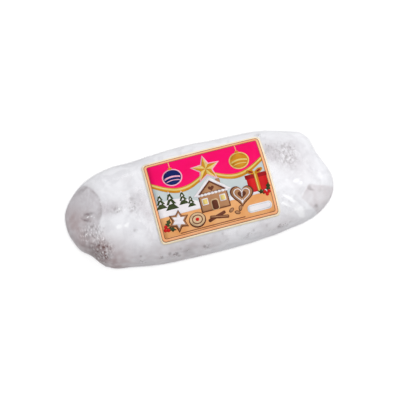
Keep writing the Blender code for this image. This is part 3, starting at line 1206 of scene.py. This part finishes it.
@dataclass
class Label:
    """The paper label: a cream sheet with round corners, its frame and its printed winter scene."""

    form: bpy.types.Object
    finish: InkFinish
    corner_mm: float = 4.0
    frame_mm: float = 4.2
    paper: float = 0.00016
    paper_lift: float = 0.00040
    first_ink: float = 0.00042
    ink_step: float = 0.00003
    ink_thickness: float = 0.00002
    slice_across: float = 0.0016
    slice_along: float = 0.0065
    cutting_height: float = 0.08
    slot: str = "label_print"
    pieces: list = field(default_factory=list)

    def __post_init__(self) -> None:
        """Reads the label's place and size from its solid."""
        low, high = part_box(LABEL_NODE)
        self.middle = (low + high) / 2
        self.length_mm = (high.x - low.x) / MM
        self.width_mm = (high.y - low.y) / MM

    def build(self) -> None:
        """Makes the paper and then one piece for each ink."""
        sheet = block(0, 0, self.length_mm, self.width_mm, self.corner_mm)
        paper = self.lay(Field(Ink.CREAM, 0, sheet), "label_paper", self.paper_lift)
        apply_modifier(paper, "SOLIDIFY", thickness=self.paper, offset=-1.0)
        self.dress(paper, Ink.CREAM)
        printed: dict[tuple[Ink, int], list[bpy.types.Object]] = {}
        for shape in self.design():
            lift = self.first_ink + self.ink_step * shape.level
            key = (shape.ink, shape.level)
            printed.setdefault(key, []).append(self.lay(shape, "field", lift))
        inks: dict[Ink, list[bpy.types.Object]] = {}
        for (ink, _), shapes in printed.items():
            inks.setdefault(ink, []).extend(shapes)
        for ink, shapes in inks.items():
            piece = self.join(shapes, f"print_{ink.name.lower()}")
            apply_modifier(piece, "SOLIDIFY", thickness=self.ink_thickness, offset=-1.0)
            self.dress(piece, ink)

    def lay(self, shape: Field, name: str, lift: float) -> bpy.types.Object:
        """Cuts one shape out flat, slices it so that it can bend, and lays it on the loaf's crown.

        Args:
            shape: the printed shape.
            name: the new piece's name.
            lift: how far above the film the shape lies.

        Returns:
            The piece.
        """
        deselect()
        bpy.ops.mesh.primitive_circle_add(
            vertices=len(shape.outline), radius=MM, fill_type="NGON", location=(0, 0, 0),
        )
        piece = bpy.context.active_object
        piece.name = name
        middle, height = self.middle, self.cutting_height
        points = np.array([(middle.x + x * MM, middle.y + y * MM, height) for x, y in shape.outline])
        write_points(piece, points)
        if shape.ring_mm:
            self.hollow_out(piece, shape.ring_mm * MM)
        low, high = points.min(0), points.max(0)
        with editing(piece):
            self.slice_between(low[1], high[1], self.slice_across, (0, 1, 0))
            self.slice_between(low[0], high[0], self.slice_along, (1, 0, 0))
        if piece.data.polygons[0].normal.z < 0:
            with editing(piece):
                bpy.ops.mesh.flip_normals()
        apply_modifier(
            piece, "SHRINKWRAP", target=self.form, wrap_method="PROJECT", use_project_z=True,
            use_negative_direction=True, use_positive_direction=False, offset=lift,
        )
        return piece

    def hollow_out(self, piece: bpy.types.Object, width: float) -> None:
        """Leaves a ring of this width of a one-face shape."""
        with editing(piece):
            bpy.ops.mesh.inset(thickness=width)
            bpy.ops.mesh.delete(type="FACE")

    def slice_between(self, low: float, high: float, step: float, normal: tuple[int, int, int]) -> None:
        """Cuts the shape in edit mode along planes of that normal, at whole steps from the origin."""
        first, last = math.ceil(low / step), math.floor(high / step)
        for number in range(first, last + 1):
            bpy.ops.mesh.select_all(action="SELECT")
            at = tuple(number * step * n for n in normal)
            bpy.ops.mesh.bisect(plane_co=at, plane_no=normal)

    def join(self, shapes: list[bpy.types.Object], name: str) -> bpy.types.Object:
        """Joins shapes of one ink into one piece."""
        make_active(shapes[0])
        for shape in shapes[1:]:
            shape.select_set(True)
        if len(shapes) > 1:
            bpy.ops.object.join()
        shapes[0].name = name
        return shapes[0]

    def dress(self, piece: bpy.types.Object, ink: Ink) -> None:
        """Gives a piece its ink and its place in the frame."""
        piece.data.materials.clear()
        colour, deep = ink.value
        piece.data.materials.append(self.finish.material(f"ink_{ink.name.lower()}", colour, deep))
        piece.data.shade_smooth()
        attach(piece, BODY)
        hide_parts(LABEL_NODE)
        self.pieces.append(piece)

    def design(self) -> list[Field]:
        """All printed shapes, in mm from the label's middle."""
        parts = (self.borders, self.curtain, self.winter_hill, self.house, self.presents, self.table)
        return [shape for part in parts for shape in part()]

    def borders(self) -> list[Field]:
        """The frame round the print and the peach ground inside it."""
        length, width = self.length_mm, self.width_mm
        inner = 2 * self.frame_mm
        return [
            Field(Ink.ORANGE, 0, block(0, 0, length - 3.2, width - 3.2, 3.0), 2.8),
            Field(Ink.LINE, 1, block(0, 0, length - 3.0, width - 3.0, 3.1), 0.45),
            Field(Ink.LINE, 1, block(0, 0, length - inner + 0.9, width - inner + 0.9, 1.8), 0.50),
            Field(Ink.PEACH, 0, block(0, 0, length - inner, width - inner, 1.4)),
        ]

    def curtain(self) -> list[Field]:
        """The magenta curtain along the top in two swags with a gold hem, and the star and baubles on it."""
        half, top = self.length_mm / 2 - self.frame_mm, self.width_mm / 2 - self.frame_mm

        def hem(a: float) -> float:
            """The height of the curtain's lower edge."""
            return 13.5 - 9.5 * abs(math.sin(math.pi * (a + half) / half))

        fields = [
            Field(Ink.MAGENTA, 4, under_curve(-half, half, top, hem)),
            Field(Ink.GOLD, 5, strip(lambda a: hem(a) + 0.4, -half, half, 4.4)),
            Field(Ink.PALE_GOLD, 6, strip(lambda a: hem(a) + 1.0, -half, half, 1.6)),
            *self.facet_star(0.0, 17.0, 11.5, 4.8),
        ]
        for x, ink, band in ((-29.0, Ink.NAVY, Ink.PINK), (29.0, Ink.GOLD, Ink.PALE_GOLD)):
            fields += [
                Field(Ink.PALE_GOLD, 5, block(x, 28.0, 0.5, 8.0, 0.2)),
                Field(Ink.GOLD, 6, block(x, 25.2, 3.2, 2.0, 0.5)),
                Field(band, 5, oval(x, 17.0, 8.6, 7.8)),
                Field(ink, 6, oval(x, 17.0, 7.6, 6.8)),
                Field(band, 7, strip(lambda a, x=x: 17.6 - 0.03 * (a - x) ** 2, x - 6.8, x + 6.8, 1.5, 12)),
                Field(band, 7, strip(lambda a, x=x: 14.4 - 0.03 * (a - x) ** 2, x - 5.6, x + 5.6, 0.7, 12)),
            ]
        return fields

    def facet_star(self, x: float, y: float, outer: float, inner: float) -> list[Field]:
        """A five-pointed star whose points each have a light and a dark side."""
        rim = star(x, y, outer, inner, 5)
        fields = [Field(Ink.PINK, 6, star(x, y, outer + 1.8, inner + 1.2, 5))]
        for k in range(10):
            ink = Ink.PALE_GOLD if k % 2 else Ink.GOLD
            fields.append(Field(ink, 7, ((x, y), rim[k], rim[(k + 1) % 10])))
        return fields

    def winter_hill(self) -> list[Field]:
        """A pale sky over the whole picture, and a snowy hill on the left with fir trees."""
        left, right = self.frame_mm - self.length_mm / 2, self.length_mm / 2 - self.frame_mm
        base = -15.0

        def hill(a: float) -> float:
            """The height of the hill on the left."""
            return base + 13.5 * math.cos((a + 36.0) / 29.0) ** 2

        def bank(a: float) -> float:
            """The height of the low bank of snow on the right."""
            return -12.0 + 3.0 * math.sin((a - 10.0) / 12.0)

        fields = [
            Field(Ink.SNOW_SHADE, 1, over_curve(left, right, base, lambda a: 15.0, 8)),
            Field(Ink.SNOW, 2, over_curve(left, 8.0, base, hill)),
            Field(Ink.SNOW, 2, over_curve(10.0, right, base, bank)),
        ]
        firs = ((-44.0, -7.5, 1.05), (-35.5, -10.0, 1.25), (-25.0, -8.0, 0.95), (-19.0, -11.5, 0.8))
        for x, y, size in firs:
            for tier in range(3):
                wide = (9.0 - 2.2 * tier) * size
                low = y + 3.5 * tier * size
                tip = (x, low + 5.8 * size)
                tree = ((x - wide / 2, low), (x + wide / 2, low), tip)
                cap = ((x - wide / 5, low + 3.5 * size), (x + wide / 9, low + 3.9 * size), tip)
                fields += [Field(Ink.GREEN, 3 + tier % 2, tree), Field(Ink.SNOW, 5, cap)]
        return fields

    def house(self) -> list[Field]:
        """A gingerbread house with an iced roof."""
        left_eave, right_eave = ((-16.6, -5.0), (-13.6, -5.0)), ((13.6, -5.0), (16.6, -5.0))
        fields = [
            Field(Ink.TAN, 3, block(7.0, 3.5, 3.6, 7.0, 0.2)),
            Field(Ink.SNOW, 4, block(7.0, 7.2, 5.0, 1.6, 0.7)),
            Field(Ink.BROWN, 4, block(0.0, -11.4, 25.0, 15.6, 0.8)),
            Field(Ink.TAN, 5, block(0.0, -11.4, 23.2, 13.8, 0.5)),
            Field(Ink.DOUGH, 6, block(0.0, -14.6, 6.6, 9.4, 2.2)),
            Field(Ink.BROWN, 7, block(0.0, -14.9, 5.0, 8.0, 1.8)),
            Field(Ink.BROWN, 5, ((-15.5, -4.6), (15.5, -4.6), (0.0, 8.6))),
            Field(Ink.TAN, 6, ((-9.5, -3.4), (9.5, -3.4), (0.0, 4.6))),
            Field(Ink.BROWN, 7, heart(0.0, -0.6, 5.0)),
            Field(Ink.SNOW, 6, (*left_eave, (0.0, 6.4), *right_eave, (0.0, 9.6))),
        ]
        for x in (-7.6, 7.6):
            fields.append(Field(Ink.SNOW, 6, block(x, -10.6, 5.2, 5.6, 0.5)))
            fields.append(Field(Ink.PALE_GOLD, 7, block(x, -10.6, 3.8, 4.2, 0.3)))
        for k in range(9):
            fields.append(Field(Ink.SNOW, 7, oval(-12.0 + 3.0 * k, -4.8, 1.7, 1.1, steps=12)))
        return fields

    def presents(self) -> list[Field]:
        """A red box with a gold ribbon, and a gingerbread heart beside it."""
        return [
            Field(Ink.RED, 3, block(39.0, -5.4, 17.0, 15.0, 0.6)),
            Field(Ink.DEEP_RED, 4, block(39.0, 0.6, 18.6, 3.6, 0.6)),
            Field(Ink.GOLD, 5, block(39.0, -4.2, 3.0, 17.6, 0.3)),
            Field(Ink.PALE_GOLD, 6, block(38.5, -4.2, 1.0, 17.4, 0.2)),
            Field(Ink.GOLD, 6, oval(35.6, 4.4, 3.9, 1.9, -24.0, 20)),
            Field(Ink.GOLD, 6, oval(42.4, 4.4, 3.9, 1.9, 24.0, 20)),
            Field(Ink.DEEP_RED, 7, oval(35.6, 4.4, 2.0, 0.8, -24.0, 16)),
            Field(Ink.DEEP_RED, 7, oval(42.4, 4.4, 2.0, 0.8, 24.0, 16)),
            Field(Ink.BROWN, 5, heart(23.6, -12.4, 20.0, -10.0)),
            Field(Ink.TAN, 6, heart(23.6, -12.3, 17.6, -10.0)),
            Field(Ink.SNOW, 7, heart(23.6, -12.2, 14.0, -10.0), 0.7),
            Field(Ink.BROWN, 7, heart(23.6, -12.2, 7.0, -10.0)),
        ]

    def table(self) -> list[Field]:
        """What lies along the front: cookies, cinnamon, almonds, holly, a white plate and a thin rule."""
        fields = [
            Field(Ink.BROWN, 5, star(-33.0, -20.6, 9.4, 5.4, 6, 80.0)),
            Field(Ink.TAN, 6, star(-33.0, -20.4, 8.2, 4.6, 6, 80.0)),
            Field(Ink.SNOW, 7, star(-33.0, -20.4, 6.2, 3.4, 6, 80.0)),
            Field(Ink.BROWN, 5, oval(-17.6, -23.4, 7.2, 6.2)),
            Field(Ink.DOUGH, 6, oval(-17.6, -23.0, 6.4, 5.4)),
            Field(Ink.BROWN, 7, oval(-17.6, -23.0, 4.6, 3.8), 0.8),
            Field(Ink.RED, 7, oval(-17.6, -23.0, 1.6, 1.4, steps=16)),
            Field(Ink.BROWN, 5, block(-1.0, -24.6, 16.0, 2.6, 1.0, 16.0)),
            Field(Ink.BROWN, 6, block(1.0, -25.4, 16.0, 2.6, 1.0, -10.0)),
            Field(Ink.TAN, 7, block(1.0, -25.2, 14.6, 0.7, 0.3, -10.0)),
            Field(Ink.SNOW, 5, block(35.6, -25.6, 21.0, 6.4, 3.0)),
            Field(Ink.SNOW_SHADE, 6, block(35.6, -25.6, 19.4, 4.8, 2.2), 0.4),
            Field(Ink.LINE, 2, strip(lambda a: -30.4, -34.0, 22.0, 0.7, 4)),
        ]
        almonds = ((12.0, -22.6, 30.0), (16.4, -25.6, -25.0), (19.6, -22.8, 70.0))
        leaves = ((45.0, -15.6, 160.0), (45.4, -15.6, 75.0), (-44.6, -24.0, 55.0), (-44.6, -24.0, -20.0))
        berries = (
            (44.4, -17.0), (46.4, -15.0), (43.0, -14.8), (-45.8, -25.4), (-43.2, -25.8), (-44.8, -22.8),
        )
        for x, y, turn in almonds:
            fields.append(Field(Ink.BROWN, 5, oval(x, y, 2.5, 1.5, turn, 16)))
            fields.append(Field(Ink.TAN, 6, oval(x, y, 2.0, 1.1, turn, 16)))
        fields += [Field(Ink.GREEN, 6, leaf(x, y, 8.6, 4.8, turn)) for x, y, turn in leaves]
        fields += [Field(Ink.RED, 7, oval(x, y, 1.5, 1.5, steps=16)) for x, y in berries]
        return fields


# ---------------------------------------------------------------------------------------------- the studio


@dataclass(frozen=True)
class AreaLamp:
    """A soft box: the way to it, its distance, size and power, and its height if it's a strip."""

    name: str
    way: tuple[float, float, float]
    distance: float
    size: float
    power: float
    height: float = 0.0

    def build(self) -> bpy.types.Object:
        """Adds the lamp, turned to the loaf."""
        way = Vector(self.way).normalized()
        light = bpy.data.lights.new(self.name, "AREA")
        light.energy = self.power
        light.size = self.size
        if self.height:
            light.shape = "RECTANGLE"
            light.size_y = self.height
        lamp = bpy.data.objects.new(self.name, light)
        lamp.location = way * self.distance
        lamp.rotation_euler = way.to_track_quat("Z", "Y").to_euler()
        bpy.context.scene.collection.objects.link(lamp)
        return lamp


@dataclass
class Studio:
    """The floor, the lamps, the pale surroundings and the camera.

    The floor glows more for the camera than it lights the loaf.
    """

    azimuth_deg: float = -14.8
    elevation_deg: float = 77.0
    distance: float = 1.2
    pixel_mm: float = 0.858
    image_px: float = 400.0
    centre_px: tuple[float, float] = (198.4, 198.8)
    aim_height: float = 0.020
    sensor_mm: float = 36.0
    white: Colour = (1.0, 1.0, 1.0)
    sky: float = 0.57
    floor_radius: float = 3.0
    floor_drop: float = 0.0002
    floor_patches: float = 3.0
    floor_greys: tuple[Colour, Colour] = ((0.36, 0.36, 0.36), (0.34, 0.34, 0.34))
    floor_roughness: float = 0.8
    floor_gloss: float = 0.1
    floor_glow: float = 0.80
    floor_bounce: float = 0.30
    lamps: tuple[AreaLamp, ...] = (
        AreaLamp("key", (0.42, 0.15, 0.895), 1.6, 2.0, 17.6),
        AreaLamp("right_glint", (0.53, 0.03, 0.835), 1.4, 0.10, 1.5),
        AreaLamp("left_glint", (-0.70, -0.10, 0.70), 1.4, 0.12, 0.8),
        AreaLamp("back_strip", (-0.12, 0.90, 0.42), 1.3, 0.90, 0.4, 0.10),
        AreaLamp("front_strip", (0.42, -0.85, 0.36), 1.3, 0.90, 0.60, 0.30),
    )

    def build(self) -> None:
        """Sets the whole studio up."""
        self.floor()
        self.world()
        self.camera()
        for lamp in self.lamps:
            lamp.build()
        bpy.context.scene.view_settings.view_transform = "Standard"

    def floor(self) -> None:
        """A wide pale disc just under the loaf."""
        deselect()
        bpy.ops.mesh.primitive_circle_add(
            vertices=96, radius=self.floor_radius, fill_type="NGON", location=(0, 0, -self.floor_drop),
        )
        piece = bpy.context.active_object
        piece.name = "studio_floor"
        bpy.ops.object.transform_apply(location=True)
        material, graph, shader, _ = new_material("pale_floor")
        place = graph.add("TexCoord").outputs["Object"]
        share = graph.ramp(graph.noise(place, self.floor_patches), 0.3, 0.7)
        seen = graph.add("LightPath").outputs["Is Camera Ray"]
        brighter = graph.math("MULTIPLY", seen, self.floor_glow - self.floor_bounce)
        graph.feed(shader, {
            "Base Color": graph.mix(share, *self.floor_greys), "Roughness": self.floor_roughness,
            "Specular IOR Level": self.floor_gloss, "Emission Color": (*self.white, 1.0),
            "Emission Strength": graph.math("ADD", self.floor_bounce, brighter),
        })
        piece.data.materials.append(material)

    def world(self) -> None:
        """Even white surroundings."""
        world = bpy.data.worlds.new("pale_room")
        world.use_nodes = True
        back = world.node_tree.nodes["Background"]
        back.inputs["Color"].default_value = (*self.white, 1.0)
        back.inputs["Strength"].default_value = self.sky
        bpy.context.scene.world = world

    def camera(self) -> None:
        """The camera, high above the loaf's front left."""
        a, e = math.radians(self.azimuth_deg), math.radians(self.elevation_deg)
        back = Vector((math.sin(a) * math.cos(e), -math.cos(a) * math.cos(e), math.sin(e)))
        right = Vector((math.cos(a), math.sin(a), 0.0))
        up = back.cross(right)
        pixel = self.pixel_mm * MM
        across = (self.image_px / 2 - self.centre_px[0]) * pixel
        down = (self.image_px / 2 - self.centre_px[1]) * pixel
        aim = Vector((0, 0, self.aim_height)) + right * across - up * down
        data = bpy.data.cameras.new("camera")
        data.sensor_width = self.sensor_mm
        data.lens = self.sensor_mm * self.distance / (pixel * self.image_px)
        data.clip_start = 0.01
        camera = bpy.data.objects.new("camera", data)
        camera.location = aim + back * self.distance
        camera.rotation_euler = back.to_track_quat("Z", "Y").to_euler()
        bpy.context.scene.collection.objects.link(camera)
        bpy.context.scene.camera = camera


def main() -> None:
    """Builds the loaf, its film, its label and the studio."""
    logging.basicConfig(level=logging.INFO, format="%(message)s")
    Studio().build()
    form = LoafForm().build()
    loaf = SugaredLoaf(form, SugarFinish(sugar_group(SugarScales()))).build()
    LOG.info("%s: %d faces", loaf.name, len(loaf.data.polygons))
    crinkle = crinkle_group()
    film = Film(form, FilmFinish(crinkle)).build()
    LOG.info("%s: %d faces", film.name, len(film.data.polygons))
    label = Label(form, InkFinish(ink_group(), crinkle))
    label.build()
    bpy.data.objects.remove(form)
    for piece in label.pieces:
        LOG.info("%s: %d faces", piece.name, len(piece.data.polygons))


if __name__ == "__main__":
    main()
